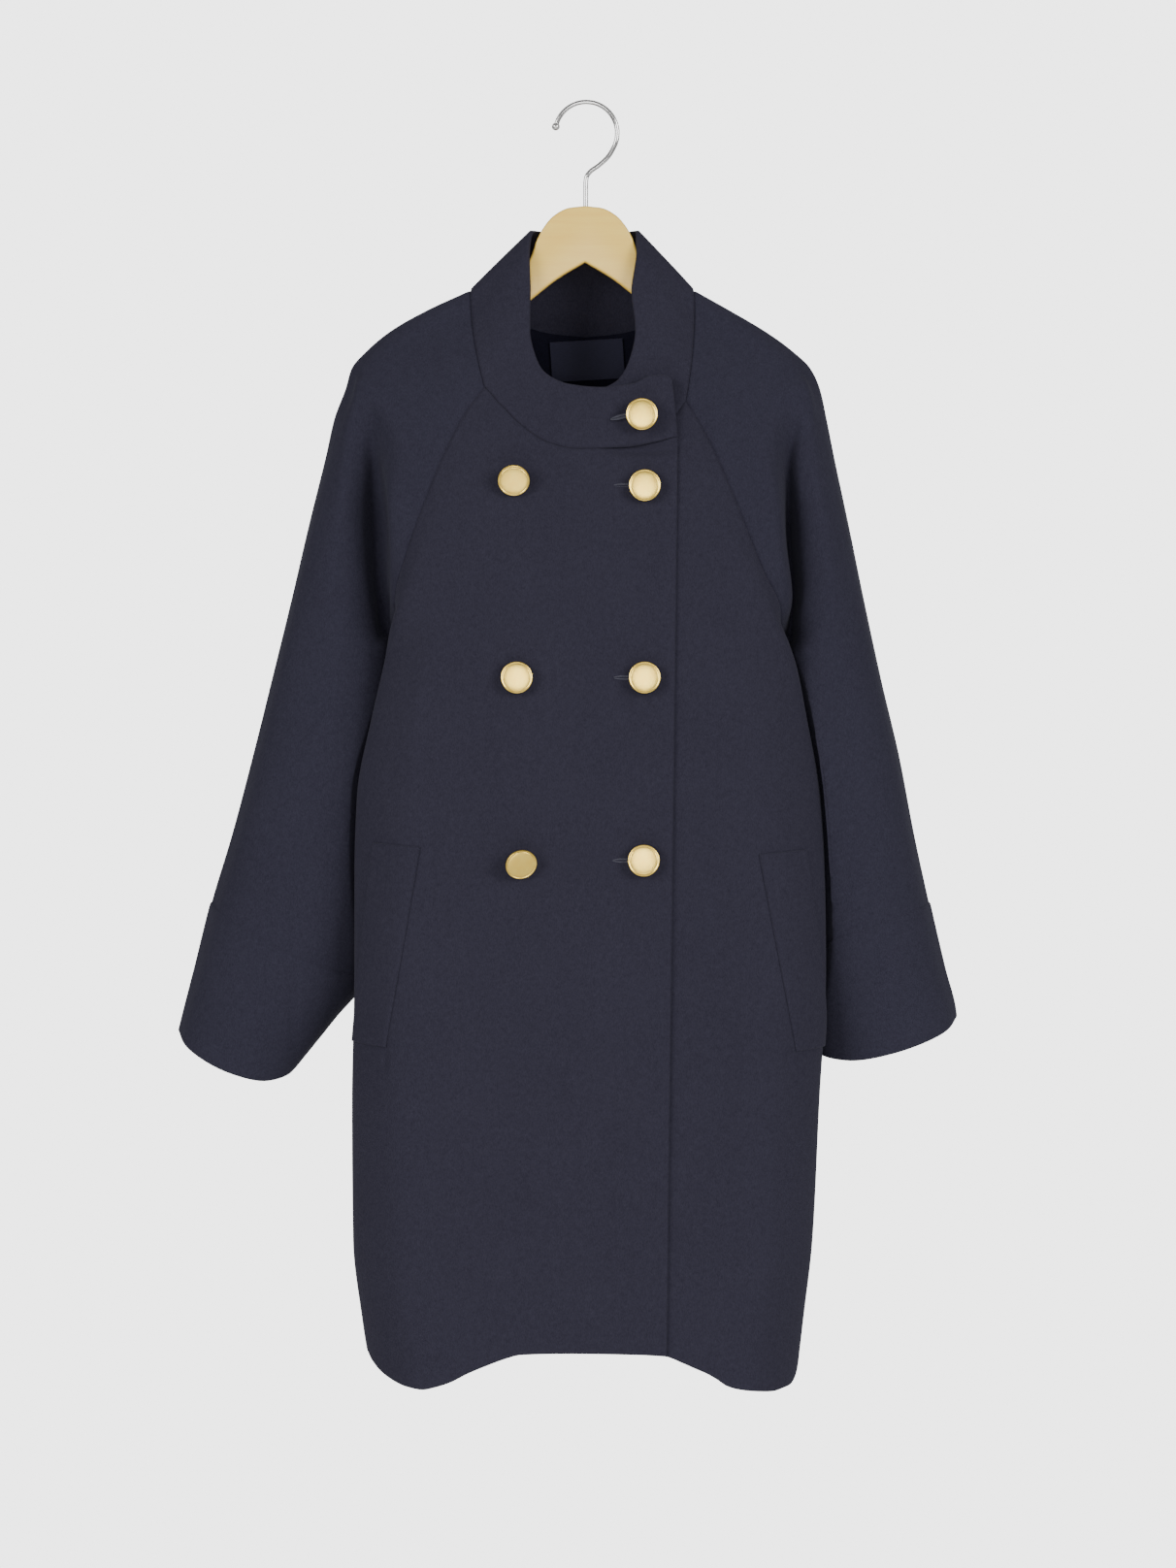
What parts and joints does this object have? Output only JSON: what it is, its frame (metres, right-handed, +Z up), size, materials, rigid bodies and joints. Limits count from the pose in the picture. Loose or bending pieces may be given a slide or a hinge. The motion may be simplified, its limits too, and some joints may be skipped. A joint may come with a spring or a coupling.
{
  "type": "double-breasted coat on a wooden hanger",
  "caption": "Knee-length wool coat with a buttoned stand collar, raglan sleeves, deep cuffs, slanted welt pockets and gold shank buttons, hanging on a wooden hanger.",
  "frame": {"origin": "inside top of the hanger's hook, where it rests on a rail or a wall hook", "axes": "+Z up, -Y out of the coat's front, +X towards the wearer's left side, which is the viewer's right"},
  "size_m": [0.6895, 0.1704, 1.1319],
  "materials": {
    "wool_front": "felted wool melton with a short soft nap",
    "wool_back": "felted wool melton with a short soft nap",
    "wool_sleeve": "felted wool melton with a short soft nap",
    "wool_cuff": "felted wool melton with a short soft nap",
    "wool_collar": "felted wool melton with a short soft nap",
    "wool_welt": "felted wool melton with a short soft nap",
    "facing": "smooth dark navy cloth",
    "label": "bare woven satin",
    "button": "satin gold plate, domed",
    "wood": "light wood under clear satin lacquer",
    "hook": "polished bent wire"
  },
  "bodies": {
    "root": {"front_right": "wool_front", "front_left": "wool_front", "back": "wool_back", "sleeve_front_right": "wool_sleeve", "sleeve_back_right": "wool_sleeve", "sleeve_front_left": "wool_sleeve", "sleeve_back_left": "wool_sleeve", "cuff_right": "wool_cuff", "cuff_left": "wool_cuff", "stand_collar": "wool_collar", "pocket_welt_right": "wool_welt", "pocket_welt_left": "wool_welt", "back_neck_facing": "facing", "neck_label": "label", "button_collar": "button", "button_right_1": "button", "button_right_2": "button", "button_right_3": "button", "button_left_1": "button", "button_left_2": "button", "button_left_3": "button", "hanger_wood": "wood", "hanger_hook": "hook"}
  },
  "joints": []
}
